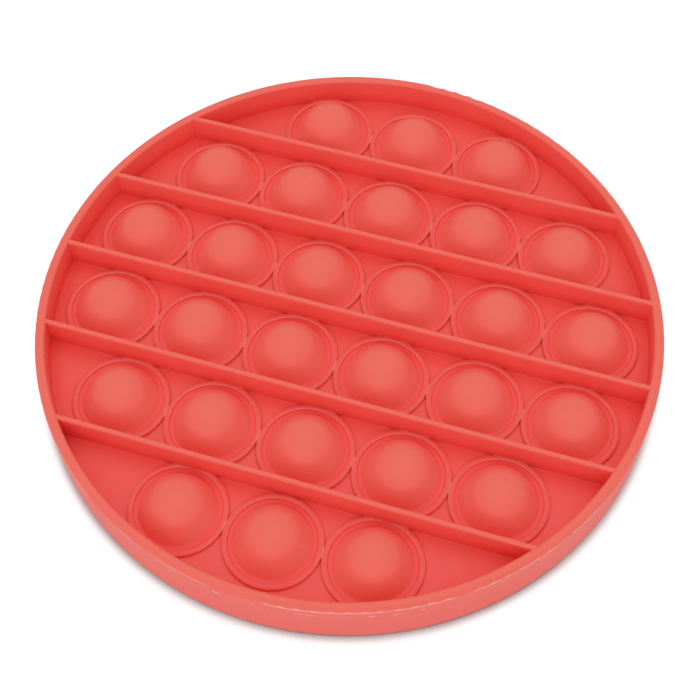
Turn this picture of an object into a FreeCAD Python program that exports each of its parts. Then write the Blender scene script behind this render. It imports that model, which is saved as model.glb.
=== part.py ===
"""Round bubble board: a flexible moulding in one piece, with rows of domes that a fingertip pushes through.

A thin web closes a tall round rim near half its height. Straight ribs cross the web on both faces, and a row
of bubbles stands in each lane between them. A bubble is a thin dome whose flank flares out to a thin hinge,
inside a raised collar, so that it snaps from one face to the other. Here all the domes stand up. Sizes are in
millimetres. The origin is the middle of the bottom, +Z is up and +X runs along the ribs.
"""
import FreeCAD, Part
import math
import os
import Sketcher
from FreeCAD import Vector

NODE = "bubble_board"

# Driving dimensions
DIMENSIONS = {
    "board_height": 13.2,
    "rim_wall": 2.0,
    "rim_round": 0.9,
    "rim_chamfer": 0.3,
    "web_thickness": 1.0,
    "web_height": 6.2,
    "rib_thickness": 1.1,
    "rib_inset": 0.1,
    "middle_row_bubbles": 6,
    "bubble_pitch": 19.1,
    "lane_spare": 0.15,
    "row_end_gap": 3.2,
    "end_row_offset": 9.2,
    "end_row_bulge": 1.0,
    "collar_wall": 1.1,
    "collar_bite": 0.05,
    "collar_height": 0.9,
    "collar_chamfer": 0.3,
    "hinge_thickness": 0.8,
    "hinge_lift": 0.5,
    "groove_width": 1.0,
    "dome_diameter": 14.0,
    "dome_lift": 0.4,
    "dome_flare": 3.0,
    "dome_wall": 0.9,
}

# The board's layout, which follows from the driving dimensions: the rim goes round the longest rows
RIM_INSIDE = "(dims.middle_row_bubbles * dims.bubble_pitch / 2 + dims.row_end_gap)"
RIM_OUTSIDE = f"({RIM_INSIDE} + dims.rim_wall)"
RIM_MIDDLE = f"({RIM_INSIDE} + dims.rim_wall / 2)"
HALF_HEIGHT = "(dims.board_height / 2)"
RIB_PITCH = "(dims.bubble_pitch + dims.lane_spare)"
END_ROW = f"(2 * {RIB_PITCH} + dims.end_row_offset)"

# Radii of a bubble, and heights above the middle of the web
COLLAR_RADIUS = "(dims.bubble_pitch / 2 + dims.collar_bite)"
BORE_RADIUS = f"({COLLAR_RADIUS} - dims.collar_wall)"
FOOT_RADIUS = f"({BORE_RADIUS} - dims.groove_width)"
DOME_RADIUS = "(dims.dome_diameter / 2)"
FLARE_RADIUS = f"sqrt({DOME_RADIUS} ^ 2 - dims.dome_flare ^ 2)"
HOLLOW_RADIUS = f"({DOME_RADIUS} - dims.dome_wall)"
COLLAR_TOP = "(dims.web_thickness / 2 + dims.collar_height)"
HINGE_TOP = "(dims.hinge_lift + dims.hinge_thickness / 2)"
HINGE_BOTTOM = "(dims.hinge_lift - dims.hinge_thickness / 2)"


def make_sheet(doc):
    """Writes the driving dimensions into a sheet and gives each cell its name."""
    sheet = doc.addObject("Spreadsheet::Sheet", "dims")
    for row, (name, value) in enumerate(DIMENSIONS.items(), start=1):
        sheet.set(f"A{row}", name)
        sheet.set(f"B{row}", str(value))
        sheet.setAlias(f"B{row}", name)
    doc.recompute()


def origin_item(body, role):
    """One of the body's own planes or axes."""
    return next(item for item in body.Origin.OriginFeatures if item.Role == role)


def new_sketch(body, name, plane, shift):
    """Makes a sketch on one of the body's own planes, with its origin shifted by three expressions."""
    sketch = body.newObject("Sketcher::SketchObject", name)
    sketch.AttachmentSupport = [(origin_item(body, plane), "")]
    sketch.MapMode = "FlatFace"
    for axis, expression in zip("xyz", shift):
        sketch.setExpression(f"AttachmentOffset.Base.{axis}", expression)
    sketch.Visibility = False
    return sketch


def hold(sketch, kind, side, point, expression):
    """Holds one coordinate of a point at an expression, or on the sketch's own axis where that is 0."""
    if expression == "0":
        axis = -2 if kind == "DistanceX" else -1
        sketch.addConstraint(Sketcher.Constraint("PointOnObject", side, point, axis))
        return
    value = float(sketch.evalExpression(expression))
    number = sketch.addConstraint(Sketcher.Constraint(kind, -1, 1, side, point, value))
    sketch.setExpression(f"Constraints[{number}]", expression)


def arc_between(first, last, centre_height):
    """The arc that runs anticlockwise between two points, round a centre at the height given."""
    start_square = first.x ** 2 + (first.y - centre_height) ** 2
    end_square = last.x ** 2 + (last.y - centre_height) ** 2
    centre = Vector((start_square - end_square) / (2 * (first.x - last.x)), centre_height, 0)
    start, end = (math.atan2(p.y - centre.y, p.x - centre.x) for p in (first, last))
    if end <= start:
        end += 2 * math.pi
    return Part.ArcOfCircle(Part.Circle(centre, Vector(0, 0, 1), (first - centre).Length), start, end)


def draw_outline(sketch, corners, arcs=None):
    """Draws a closed outline through corners that are pairs of expressions, held at both of them.

    A side is straight, unless the number of the corner that it leaves is in arcs: there it is an arc that
    turns left or right, round a centre at the height that the expression gives.
    """
    arcs = arcs or {}
    points = [Vector(*(float(sketch.evalExpression(place)) for place in corner), 0) for corner in corners]
    ends = []
    for number, first in enumerate(points):
        last = points[(number + 1) % len(points)]
        turn, centre_height = arcs.get(number, ("straight", "0"))
        if turn == "straight":
            side = sketch.addGeometry(Part.LineSegment(first, last))
        else:
            pair = (first, last) if turn == "left" else (last, first)
            side = sketch.addGeometry(arc_between(*pair, float(sketch.evalExpression(centre_height))))
            hold(sketch, "DistanceY", side, 3, centre_height)
        ends.append((side, 2, 1) if turn == "right" else (side, 1, 2))
    for number, (side, enters, leaves) in enumerate(ends):
        following, entry, _ = ends[(number + 1) % len(ends)]
        sketch.addConstraint(Sketcher.Constraint("Coincident", side, leaves, following, entry))
        hold(sketch, "DistanceX", side, enters, corners[number][0])
        hold(sketch, "DistanceY", side, enters, corners[number][1])


def turn_section(body, kind, name, sketch):
    """Turns a section once round its own upright axis, as a solid that is added or as a cut."""
    feature = body.newObject(kind, name)
    feature.Profile = sketch
    feature.ReferenceAxis = (sketch, ["V_Axis"])
    feature.Angle = 360
    feature.Refine = False
    return feature


def push_section(body, name, sketch, length):
    """Pushes a section out by half of the length to each side of its plane."""
    feature = body.newObject("PartDesign::Pad", name)
    feature.Profile = sketch
    feature.SideType = "Symmetric"
    feature.setExpression("Length", length)
    feature.Refine = False


def add_web(body):
    """The round web, reaching into the rim's wall."""
    sketch = new_sketch(body, "web_outline", "XY_Plane", ("0", "0", "dims.web_height"))
    radius = float(sketch.evalExpression(RIM_MIDDLE))
    circle = sketch.addGeometry(Part.Circle(Vector(0, 0, 0), Vector(0, 0, 1), radius))
    sketch.addConstraint(Sketcher.Constraint("Coincident", circle, 3, -1, 1))
    number = sketch.addConstraint(Sketcher.Constraint("Radius", circle, radius))
    sketch.setExpression(f"Constraints[{number}]", RIM_MIDDLE)
    push_section(body, "web", sketch, "dims.web_thickness")


def draw_bore(sketch):
    """The hole through the web that a bubble fills."""
    draw_outline(sketch, [
        ("0", f"-{COLLAR_TOP}"),
        (BORE_RADIUS, f"-{COLLAR_TOP}"),
        (BORE_RADIUS, COLLAR_TOP),
        ("0", COLLAR_TOP),
    ])


def draw_bubble(sketch):
    """Half of the section through a bubble: collar, hinge in its groove, flared flank and dome."""
    chamfer = "dims.collar_chamfer"
    corners = [
        (BORE_RADIUS, HINGE_BOTTOM),
        (BORE_RADIUS, f"{chamfer} - {COLLAR_TOP}"),
        (f"{BORE_RADIUS} + {chamfer}", f"-{COLLAR_TOP}"),
        (f"{COLLAR_RADIUS} - {chamfer}", f"-{COLLAR_TOP}"),
        (COLLAR_RADIUS, f"{chamfer} - {COLLAR_TOP}"),
        (COLLAR_RADIUS, f"{COLLAR_TOP} - {chamfer}"),
        (f"{COLLAR_RADIUS} - {chamfer}", COLLAR_TOP),
        (f"{BORE_RADIUS} + {chamfer}", COLLAR_TOP),
        (BORE_RADIUS, f"{COLLAR_TOP} - {chamfer}"),
        (BORE_RADIUS, HINGE_TOP),
        (FOOT_RADIUS, HINGE_TOP),
        (FLARE_RADIUS, "dims.dome_lift + dims.dome_flare"),
        ("0", f"dims.dome_lift + {DOME_RADIUS}"),
        ("0", f"dims.dome_lift + {HOLLOW_RADIUS}"),
        (HOLLOW_RADIUS, "dims.dome_lift"),
        (HOLLOW_RADIUS, HINGE_BOTTOM),
    ]
    draw_outline(sketch, corners, {11: ("left", "dims.dome_lift"), 13: ("right", "dims.dome_lift")})


def add_bubbles(body, name, distance, count="1", pitch="dims.bubble_pitch"):
    """Two like rows of bubbles, each centred, at the distance on either side of the board's middle."""
    shift = (f"-({count} - 1) / 2 * {pitch}", "dims.web_height", distance)
    bore_section = new_sketch(body, f"{name}_bore_section", "XZ_Plane", shift)
    draw_bore(bore_section)
    bore = turn_section(body, "PartDesign::Groove", f"{name}_bore", bore_section)
    bubble_section = new_sketch(body, f"{name}_bubble_section", "XZ_Plane", shift)
    draw_bubble(bubble_section)
    bubble = turn_section(body, "PartDesign::Revolution", f"{name}_bubble", bubble_section)
    rows = body.newObject("PartDesign::LinearPattern", f"{name}_rows")
    rows.Originals = [bore, bubble]
    rows.Direction = (origin_item(body, "Y_Axis"), [""])
    rows.Occurrences = 2
    rows.setExpression("Length", f"2 * {distance}")
    if count != "1":
        rows.Direction2 = (origin_item(body, "X_Axis"), [""])
        rows.setExpression("Occurrences2", count)
        rows.setExpression("Length2", f"({count} - 1) * {pitch}")
    rows.Refine = False
    body.Tip = rows


def add_rib(body, name, place):
    """One straight rib with rounded edges, the same above and below, its ends inside the rim's wall."""
    sketch = new_sketch(body, f"{name}_section", "YZ_Plane", (place, HALF_HEIGHT, "0"))
    side = "dims.rib_thickness / 2"
    bend = f"({HALF_HEIGHT} - dims.rib_inset - {side})"
    corners = [(side, f"-{bend}"), (side, bend), (f"-{side}", bend), (f"-{side}", f"-{bend}")]
    draw_outline(sketch, corners, {1: ("left", bend), 3: ("left", f"-{bend}")})
    push_section(body, name, sketch, f"2 * sqrt({RIM_MIDDLE} ^ 2 - ({place}) ^ 2)")


def add_rim(body):
    """The tall rim that the board stands on, rounded outside and chamfered inside at top and bottom."""
    sketch = new_sketch(body, "rim_section", "XZ_Plane", ("0", HALF_HEIGHT, "0"))
    bend = f"({HALF_HEIGHT} - dims.rim_round)"
    edge = f"({HALF_HEIGHT} - dims.rim_chamfer)"
    corners = [
        (RIM_OUTSIDE, f"-{bend}"),
        (RIM_OUTSIDE, bend),
        (f"{RIM_OUTSIDE} - dims.rim_round", HALF_HEIGHT),
        (f"{RIM_INSIDE} + dims.rim_chamfer", HALF_HEIGHT),
        (RIM_INSIDE, edge),
        (RIM_INSIDE, f"-{edge}"),
        (f"{RIM_INSIDE} + dims.rim_chamfer", f"-{HALF_HEIGHT}"),
        (f"{RIM_OUTSIDE} - dims.rim_round", f"-{HALF_HEIGHT}"),
    ]
    draw_outline(sketch, corners, {1: ("left", bend), 7: ("left", f"-{bend}")})
    body.Tip = turn_section(body, "PartDesign::Revolution", "rim", sketch)
    body.Tip.Refine = True


def make_board(doc):
    """The whole board as one body."""
    body = doc.addObject("PartDesign::Body", NODE)
    body.Label = NODE
    add_web(body)
    add_rib(body, "middle_rib", "0")
    for side, sign in (("near", "-"), ("far", "")):
        add_rib(body, f"{side}_inner_rib", f"{sign}{RIB_PITCH}")
        add_rib(body, f"{side}_outer_rib", f"{sign}2 * {RIB_PITCH}")
    add_bubbles(body, "middle", f"{RIB_PITCH} / 2", "dims.middle_row_bubbles")
    add_bubbles(body, "second", f"{RIB_PITCH} * 3 / 2", "(dims.middle_row_bubbles - 1)")
    add_bubbles(body, "end", END_ROW, "2", "(2 * dims.bubble_pitch)")
    add_bubbles(body, "end_middle", f"({END_ROW} + dims.end_row_bulge)")
    add_rim(body)
    return body


def check(doc, body):
    """Stops the build where an object failed, or where the board isn't one sound solid."""
    for item in doc.Objects:
        if "Invalid" in item.State or "Error" in item.State:
            raise RuntimeError(f"{item.Name} did not build: {item.State}")
    if body.Shape.isNull() or not body.Shape.isValid() or len(body.Shape.Solids) != 1:
        raise RuntimeError(f"{body.Label} is not one valid solid")


def main():
    """Builds the board, checks it and writes its file."""
    doc = FreeCAD.newDocument("board")
    make_sheet(doc)
    body = make_board(doc)
    doc.recompute()
    check(doc, body)
    os.makedirs("parts", exist_ok=True)
    body.Shape.exportStep(f"parts/{NODE}.step")


main()
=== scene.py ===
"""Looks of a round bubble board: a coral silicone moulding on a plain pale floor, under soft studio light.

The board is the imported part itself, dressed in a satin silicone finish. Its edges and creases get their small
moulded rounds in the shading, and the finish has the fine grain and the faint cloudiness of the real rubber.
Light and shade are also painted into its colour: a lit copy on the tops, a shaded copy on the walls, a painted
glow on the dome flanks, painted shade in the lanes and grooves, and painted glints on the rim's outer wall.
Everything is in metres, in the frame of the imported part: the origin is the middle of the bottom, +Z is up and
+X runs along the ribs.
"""
import logging
import math
from dataclasses import dataclass
from enum import Enum
from typing import Mapping, Optional, Sequence, Union

import bpy
from mathutils import Matrix, Vector

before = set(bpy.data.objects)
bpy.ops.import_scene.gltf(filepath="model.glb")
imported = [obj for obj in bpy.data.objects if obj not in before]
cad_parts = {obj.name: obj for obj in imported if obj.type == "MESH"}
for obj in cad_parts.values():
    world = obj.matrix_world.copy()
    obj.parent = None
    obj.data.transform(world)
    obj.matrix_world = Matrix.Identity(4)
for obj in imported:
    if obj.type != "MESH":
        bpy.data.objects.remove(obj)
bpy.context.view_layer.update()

MM = 0.001
LOG = logging.getLogger("board")

Colour = tuple[float, float, float]
Triple = tuple[float, float, float]
SocketValue = Union[float, Sequence[float], "Value"]

WHITE: Colour = (1.0, 1.0, 1.0)

# The colour sockets of a Mix node, which shares their names with its number and vector sockets
MIX_INPUTS = (0, 6, 7)
MIX_RESULT = 2


class Ray(Enum):
    """What a ray of light is doing when it meets a surface, by the name of the Light Path output."""

    SEEN = "Is Camera Ray"
    MIRRORED = "Is Glossy Ray"
    THROUGH = "Is Transmission Ray"


@dataclass(frozen=True)
class Fade:
    """A stretch of a value over which something fades in: none of it at one end, and all at the other."""

    none: float
    full: float

    def beyond(self, place: float) -> "Fade":
        """The same stretch, measured from a place."""
        return Fade(place + self.none, place + self.full)


class Value:
    """A number or a vector that a node gives; on a number, Python's operators add Math nodes."""

    def __init__(self, shader: "Shader", socket: bpy.types.NodeSocket) -> None:
        """Wraps a socket.

        Args:
            shader: The node tree that the socket is in.
            socket: The socket.
        """
        self.shader = shader
        self.socket = socket

    def _maths(self, operation: str, first: SocketValue, second: SocketValue) -> "Value":
        """Adds a Math node.

        Args:
            operation: The node's operation.
            first: Its first number.
            second: Its second number.

        Returns:
            The node's result.
        """
        return self.shader.add("ShaderNodeMath", {"operation": operation}, {0: first, 1: second})

    def __add__(self, other: SocketValue) -> "Value":
        """The sum."""
        return self._maths("ADD", self, other)

    __radd__ = __add__

    def __sub__(self, other: SocketValue) -> "Value":
        """The difference."""
        return self._maths("SUBTRACT", self, other)

    def __rsub__(self, other: SocketValue) -> "Value":
        """The difference from a number on the left."""
        return self._maths("SUBTRACT", other, self)

    def __mul__(self, other: SocketValue) -> "Value":
        """The product."""
        return self._maths("MULTIPLY", self, other)

    __rmul__ = __mul__

    def __abs__(self) -> "Value":
        """The size of the number, without its sign."""
        return self.shader.add("ShaderNodeMath", {"operation": "ABSOLUTE"}, {0: self})


class Shader:
    """A node tree that is filled from Python expressions."""

    def __init__(self, tree: bpy.types.NodeTree) -> None:
        """Empties the tree.

        Args:
            tree: The node tree of a material or a world.
        """
        self.tree = tree
        tree.nodes.clear()

    def add(
        self,
        kind: str,
        settings: Optional[Mapping[str, object]] = None,
        inputs: Optional[Mapping[Union[str, int], SocketValue]] = None,
        output: Union[str, int] = 0,
    ) -> Value:
        """Adds one node.

        Args:
            kind: The node's type.
            settings: The node's own settings, set before its sockets.
            inputs: Values or links for its input sockets, by name or place.
            output: The output socket that is handed back.

        Returns:
            The output socket, wrapped, or the first input of a node that has no output.
        """
        node = self.tree.nodes.new(kind)
        for name, setting in (settings or {}).items():
            setattr(node, name, setting)
        for name, value in (inputs or {}).items():
            if isinstance(value, Value):
                self.tree.links.new(value.socket, node.inputs[name])
            else:
                node.inputs[name].default_value = value
        return Value(self, node.outputs[output] if node.outputs else node.inputs[0])

    def noise(self, place: Value, size: float, detail: float) -> Value:
        """Adds a noise texture.

        Args:
            place: Where it is read.
            size: How far apart it varies.
            detail: How many finer layers it has.

        Returns:
            A number about 0.5.
        """
        inputs = {"Vector": place, "Scale": 1 / size, "Detail": detail}
        return self.add("ShaderNodeTexNoise", None, inputs, "Fac")

    def stretch(self, place: Value, factors: Triple) -> Value:
        """Multiplies a vector along each axis.

        Args:
            place: The vector.
            factors: One factor for each axis.

        Returns:
            The longer or shorter vector.
        """
        return self.add("ShaderNodeVectorMath", {"operation": "MULTIPLY"}, {0: place, 1: factors})

    def upward(self, vector: Value) -> Value:
        """The part of a vector along Z."""
        return self.add("ShaderNodeSeparateXYZ", None, {0: vector}, "Z")

    def fade(self, value: Value, stretch: Fade) -> Value:
        """Fades smoothly from 0 to 1 over a stretch of a value.

        Args:
            value: The value.
            stretch: Where the fade is 0 and where it is 1.

        Returns:
            The fade.
        """
        inputs = {"Value": value, "From Min": stretch.none, "From Max": stretch.full}
        return self.add("ShaderNodeMapRange", {"interpolation_type": "SMOOTHSTEP"}, inputs)

    def ray(self, kind: Ray) -> Value:
        """Tells a kind of ray apart: 1 for a ray of that kind, and 0 for another."""
        return self.add("ShaderNodeLightPath", output=kind.value)

    def mix(self, factor: SocketValue, first: SocketValue, second: SocketValue) -> Value:
        """Mixes two colours.

        Args:
            factor: How much of the second there is.
            first: The colour at 0.
            second: The colour at 1.

        Returns:
            The mixed colour.
        """
        inputs = dict(zip(MIX_INPUTS, (factor, first, second)))
        return self.add("ShaderNodeMix", {"data_type": "RGBA"}, inputs, MIX_RESULT)


def opaque(colour: Colour) -> tuple[float, float, float, float]:
    """The colour with full cover."""
    return (*colour, 1.0)


@dataclass(frozen=True)
class BoardSizes:
    """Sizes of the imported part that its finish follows.

    web_middle is a height over the bottom. The next three are distances from the web's middle, the same above
    and below it, and the rim's two are radii.
    """

    web_middle: float = 6.2 * MM
    web_face: float = 0.5 * MM
    groove_floor: float = 0.9 * MM
    collar_top: float = 1.4 * MM
    rim_inside: float = 60.5 * MM
    rim_outside: float = 62.5 * MM


@dataclass(frozen=True)
class RimGlints:
    """Painted glints on the upper part of the rim's outer wall: pale flecks, and a thin painted highlight line
    where the rim's round meets the wall.
    """

    # The colour of the painted glints
    colour: Colour = (0.985, 0.500, 0.440)
    outer_skin: Fade = Fade(-0.4 * MM, -0.2 * MM)
    fleck_height: float = 10.6 * MM
    fleck_band: Fade = Fade(0.30 * MM, 0.10 * MM)
    fleck_size: float = 2.5 * MM
    fleck_flatness: Triple = (1.0, 1.0, 5.0)
    fleck_detail: float = 1.0
    fleck_share: Fade = Fade(0.59, 0.65)
    line_height: float = 12.4 * MM
    line_band: Fade = Fade(0.22 * MM, 0.06 * MM)
    line_size: float = 11 * MM
    line_detail: float = 2.0
    line_share: Fade = Fade(0.42, 0.55)
    line_strength: float = 0.8

    def over(self, shader: Shader, place: Value, radius: Value, rim_outside: float, colour: Value) -> Value:
        """Lays the flecks and the line over a colour.

        Args:
            shader: The material's nodes.
            place: The place on the board.
            radius: Its distance from the board's axis.
            rim_outside: The radius of the rim's outer wall.
            colour: The colour without them.

        Returns:
            The colour with them.
        """
        height = shader.upward(place)
        flecks = shader.noise(shader.stretch(place, self.fleck_flatness), self.fleck_size, self.fleck_detail)
        fleck_band = shader.fade(abs(height - self.fleck_height), self.fleck_band)
        line = shader.noise(place, self.line_size, self.line_detail)
        line_band = shader.fade(abs(height - self.line_height), self.line_band)
        # Painted glints and a painted highlight line, on the outer wall only
        pale_flecks = shader.fade(flecks, self.fleck_share) * fleck_band
        pale_line = shader.fade(line, self.line_share) * line_band * self.line_strength
        outside = shader.fade(radius, self.outer_skin.beyond(rim_outside))
        return shader.mix((pale_flecks + pale_line) * outside, colour, opaque(self.colour))


@dataclass(frozen=True)
class SiliconeFinish:
    """Satin moulded silicone rubber, with light and shade painted into its colour: a paler lit copy on the
    faces that look up and a redder shaded copy on the walls, a painted glow on the lower dome flanks, and
    painted shade down in the lanes and in the grooves.

    A face's lean is the upward part of the direction that it faces: 0 on a wall, and 1 on a level face.
    """

    sizes: BoardSizes = BoardSizes()
    rim_glints: RimGlints = RimGlints()

    # Painted light and shade: a redder shaded copy of the finish for the walls, and a paler lit copy for the
    # faces that look up, with the rubber's real cloudiness in the lit copy
    shaded_side_colour: Colour = (0.990, 0.145, 0.112)
    lit_top_colour: Colour = (0.946, 0.142, 0.098)
    lit_cloud_colour: Colour = (0.938, 0.150, 0.106)
    # Painted light: a paler glow on the lower dome flanks, standing in for light through the thin rubber
    flank_glow_colour: Colour = (0.992, 0.206, 0.160)
    # Painted shade: deeper colour down in the lanes, where the ribs and domes shade the web
    lane_shade_colour: Colour = (0.948, 0.107, 0.088)
    # Painted shade: deeper colour in the grooves round the domes
    groove_shade_colour: Colour = (0.975, 0.088, 0.077)

    level_lean: Fade = Fade(0.70, 0.97)
    wall_end: Fade = Fade(0.05, 0.35)
    level_start: Fade = Fade(0.97, 0.85)
    inside_rim: Fade = Fade(0.6 * MM, 0.1 * MM)
    over_collar: Fade = Fade(2.4 * MM, 0.0)
    flank_depth: Fade = Fade(5.2 * MM, 2.6 * MM)
    groove_margin: float = 0.05 * MM

    cloud_size: float = 14 * MM
    cloud_detail: float = 3.0
    cloud_middle: float = 0.5
    grain_size: float = 0.25 * MM
    grain_detail: float = 2.0
    grain_height: float = 0.004 * MM
    roughness: float = 0.42
    roughness_spread: float = 0.10
    refraction: float = 1.43
    edge_round: float = 0.45 * MM
    edge_samples: int = 8

    def material(self, name: str) -> bpy.types.Material:
        """Makes the material.

        Args:
            name: Its name.

        Returns:
            The material.
        """
        material = bpy.data.materials.new(name)
        material.use_nodes = True
        shader = Shader(material.node_tree)
        place = shader.add("ShaderNodeTexCoord", output="Object")
        clouds = shader.noise(place, self.cloud_size, self.cloud_detail)
        grain = shader.noise(place, self.grain_size, self.grain_detail)
        # The painted lit copy for the faces that look up, with the rubber's real clouds in it
        top = shader.mix(clouds, opaque(self.lit_top_colour), opaque(self.lit_cloud_colour))
        rounded = shader.add("ShaderNodeBevel", {"samples": self.edge_samples}, {"Radius": self.edge_round})
        bumps = shader.add(
            "ShaderNodeBump",
            None,
            {"Height": grain, "Distance": self.grain_height, "Strength": 1.0, "Normal": rounded},
        )
        body = shader.add(
            "ShaderNodeBsdfPrincipled",
            None,
            {
                "Base Color": self._by_place(shader, place, top),
                "Roughness": self.roughness + self.roughness_spread * (clouds - self.cloud_middle),
                "IOR": self.refraction,
                "Normal": bumps,
            },
        )
        shader.add("ShaderNodeOutputMaterial", None, {"Surface": body})
        return material

    def _by_place(self, shader: Shader, place: Value, top: Value) -> Value:
        """Paints light and shade by place: shaded walls and lit tops, a painted glow on the dome flanks,
        painted shade in the lanes and grooves, and painted glints on the rim's outer wall.

        Args:
            shader: The material's nodes.
            place: The place on the board.
            top: The colour of the faces that look up.

        Returns:
            The colour of the whole board.
        """
        sizes = self.sizes
        flat = shader.stretch(place, (1.0, 1.0, 0.0))
        radius = shader.add("ShaderNodeVectorMath", {"operation": "LENGTH"}, {0: flat}, "Value")
        inside = shader.fade(radius, self.inside_rim.beyond(sizes.rim_inside))
        depth = abs(shader.upward(place) - sizes.web_middle)

        lean = shader.upward(shader.add("ShaderNodeTexCoord", output="Normal"))
        slope = shader.fade(lean, self.wall_end) * shader.fade(lean, self.level_start)
        # Painted light and shade: walls take the shaded copy and level faces the lit copy
        plain = shader.mix(shader.fade(lean, self.level_lean), opaque(self.shaded_side_colour), top)

        # Painted light: the glow on the lower dome flanks
        flank_glow = inside * slope * shader.fade(depth, self.flank_depth)
        with_flanks = shader.mix(flank_glow, plain, opaque(self.flank_glow_colour))

        # Painted shade down in the lanes
        lane_shade = inside * shader.fade(depth, self.over_collar.beyond(sizes.collar_top)) * (1 - slope)
        with_lanes = shader.mix(lane_shade, with_flanks, opaque(self.lane_shade_colour))

        # Painted shade in the grooves between the collars and the domes
        margin = self.groove_margin
        past_web = shader.fade(depth, Fade(sizes.web_face + margin, sizes.groove_floor - margin))
        under_collar = shader.fade(depth, Fade(sizes.collar_top - margin, sizes.groove_floor + margin))
        groove_shade = inside * past_web * under_collar * (1 - slope)
        with_grooves = shader.mix(groove_shade, with_lanes, opaque(self.groove_shade_colour))
        return self.rim_glints.over(shader, place, radius, sizes.rim_outside, with_grooves)


@dataclass
class BubbleBoard:
    """The board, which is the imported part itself."""

    node: str = "bubble_board"
    finish: SiliconeFinish = SiliconeFinish()

    def dress(self) -> bpy.types.Object:
        """Gives the board its finish.

        Returns:
            The board.
        """
        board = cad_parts[self.node]
        material = self.finish.material("coral_silicone")
        for slot in board.material_slots:
            slot.material = material
        LOG.info("%s dressed: %d faces", board.name, len(board.data.polygons))
        return board


@dataclass(frozen=True)
class SoftLamp:
    """A large square lamp that faces the board from a bearing and a height, both angles in degrees.

    A bearing of 0 is the far side of the board, and 90 is its right.
    """

    name: str
    bearing: float
    height: float
    power: float
    size: float = 0.9
    distance: float = 0.9

    def hang(self) -> bpy.types.Object:
        """Hangs the lamp.

        Returns:
            The lamp.
        """
        around = math.radians(self.bearing)
        up = math.radians(self.height)
        toward = Vector((math.sin(around) * math.cos(up), math.cos(around) * math.cos(up), math.sin(up)))
        light = bpy.data.lights.new(self.name, "AREA")
        light.size = self.size
        light.energy = self.power
        lamp = bpy.data.objects.new(self.name, light)
        lamp.location = toward * self.distance
        lamp.rotation_euler = toward.to_track_quat("Z", "Y").to_euler()
        bpy.context.scene.collection.objects.link(lamp)
        return lamp


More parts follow.
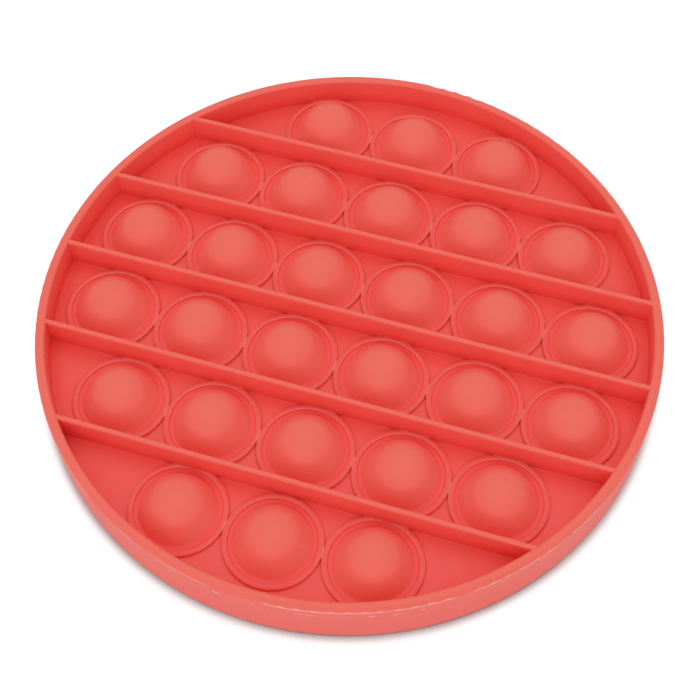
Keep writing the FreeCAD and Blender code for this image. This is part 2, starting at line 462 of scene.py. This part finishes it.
@dataclass(frozen=True)
class Studio:
    """The plain pale floor and the soft light.

    The camera sees the floor lifted to white, apart from a tight contact shadow close round the rim. How open
    a place on the floor is, within the contact's reach, sets where the lift fades in.
    """

    floor_reach: float = 3.0
    floor_colour: Colour = (0.92, 0.92, 0.92)
    seen_colour: Colour = (0.40, 0.40, 0.40)
    floor_lift: float = 0.80
    contact_reach: float = 3.5 * MM
    contact_samples: int = 12
    contact_end: Fade = Fade(0.40, 0.85)
    sky: float = 0.67
    seen_sky: float = 1.0
    lamps: tuple[SoftLamp, ...] = (
        SoftLamp("high_light", bearing=345.0, height=80.0, power=1.52),
        SoftLamp("low_light", bearing=175.0, height=28.0, power=1.1),
    )

    def build(self) -> None:
        """Makes the floor, the surroundings and the lamps."""
        self._floor()
        self._surroundings()
        for lamp in self.lamps:
            lamp.hang()
        LOG.info("studio built, with %d lamps", len(self.lamps))

    def _floor(self) -> None:
        """Lays the floor."""
        reach = self.floor_reach
        mesh = bpy.data.meshes.new("floor")
        corners = [(-reach, -reach, 0.0), (reach, -reach, 0.0), (reach, reach, 0.0), (-reach, reach, 0.0)]
        mesh.from_pydata(corners, [], [(0, 1, 2, 3)])
        floor = bpy.data.objects.new("floor", mesh)
        bpy.context.scene.collection.objects.link(floor)
        mesh.materials.append(self._floor_material())

    def _floor_material(self) -> bpy.types.Material:
        """Makes the floor's material.

        Returns:
            The material.
        """
        material = bpy.data.materials.new("white_sweep")
        material.use_nodes = True
        shader = Shader(material.node_tree)
        paper = shader.add("ShaderNodeBsdfDiffuse", None, {"Color": opaque(self.floor_colour)})
        open_sky = shader.add(
            "ShaderNodeAmbientOcclusion",
            {"samples": self.contact_samples},
            {"Distance": self.contact_reach},
            "AO",
        )
        away = shader.fade(open_sky, self.contact_end)
        lift = shader.add("ShaderNodeEmission", None, {"Color": opaque(WHITE), "Strength": self.floor_lift})
        seen_paper = shader.add("ShaderNodeBsdfDiffuse", None, {"Color": opaque(self.seen_colour)})
        lifted = shader.add("ShaderNodeAddShader", None, {0: seen_paper, 1: lift})
        seen = shader.add("ShaderNodeMixShader", None, {0: away, 1: seen_paper, 2: lifted})
        both = shader.add("ShaderNodeMixShader", None, {0: shader.ray(Ray.SEEN), 1: paper, 2: seen})
        shader.add("ShaderNodeOutputMaterial", None, {"Surface": both})
        return material

    def _surroundings(self) -> None:
        """Makes the even surroundings, which the camera and mirroring faces see as pure white."""
        world = bpy.data.worlds.new("white_room")
        world.use_nodes = True
        shader = Shader(world.node_tree)
        plain, white = (
            shader.add("ShaderNodeBackground", None, {"Color": opaque(WHITE), "Strength": strength})
            for strength in (self.sky, self.seen_sky)
        )
        shown = shader.ray(Ray.SEEN) + shader.ray(Ray.MIRRORED) + shader.ray(Ray.THROUGH)
        both = shader.add("ShaderNodeMixShader", None, {0: shown, 1: plain, 2: white})
        shader.add("ShaderNodeOutputWorld", None, {"Surface": both})
        bpy.context.scene.world = world


@dataclass(frozen=True)
class PhotoCamera:
    """The photograph's camera, close above the board."""

    place: Triple = (0.04242, -0.13270, 0.23259)
    forward: Triple = (-0.1551, 0.4863, -0.8599)
    right: Triple = (0.9569, 0.2903, -0.0084)
    focal_pixels: float = 1302.5
    photo_width: float = 700.0
    sensor_width: float = 36.0
    nearest: float = 10 * MM

    def build(self) -> bpy.types.Object:
        """Sets the camera up.

        Returns:
            The camera.
        """
        back = -Vector(self.forward).normalized()
        up = back.cross(Vector(self.right)).normalized()
        across = up.cross(back)
        data = bpy.data.cameras.new("photo_camera")
        data.sensor_width = self.sensor_width
        data.lens = self.focal_pixels / self.photo_width * self.sensor_width
        data.clip_start = self.nearest
        camera = bpy.data.objects.new("photo_camera", data)
        turn = Matrix((across, up, back)).transposed().to_4x4()
        camera.matrix_world = Matrix.Translation(self.place) @ turn
        bpy.context.scene.collection.objects.link(camera)
        bpy.context.scene.camera = camera
        LOG.info("camera %.0f mm above the floor, lens %.1f mm", self.place[2] / MM, data.lens)
        return camera


def main() -> None:
    """Builds the scene."""
    logging.basicConfig(level=logging.INFO, format="%(name)s: %(message)s")
    bpy.context.scene.view_settings.view_transform = "Standard"
    BubbleBoard().dress()
    Studio().build()
    PhotoCamera().build()


if __name__ == "__main__":
    main()
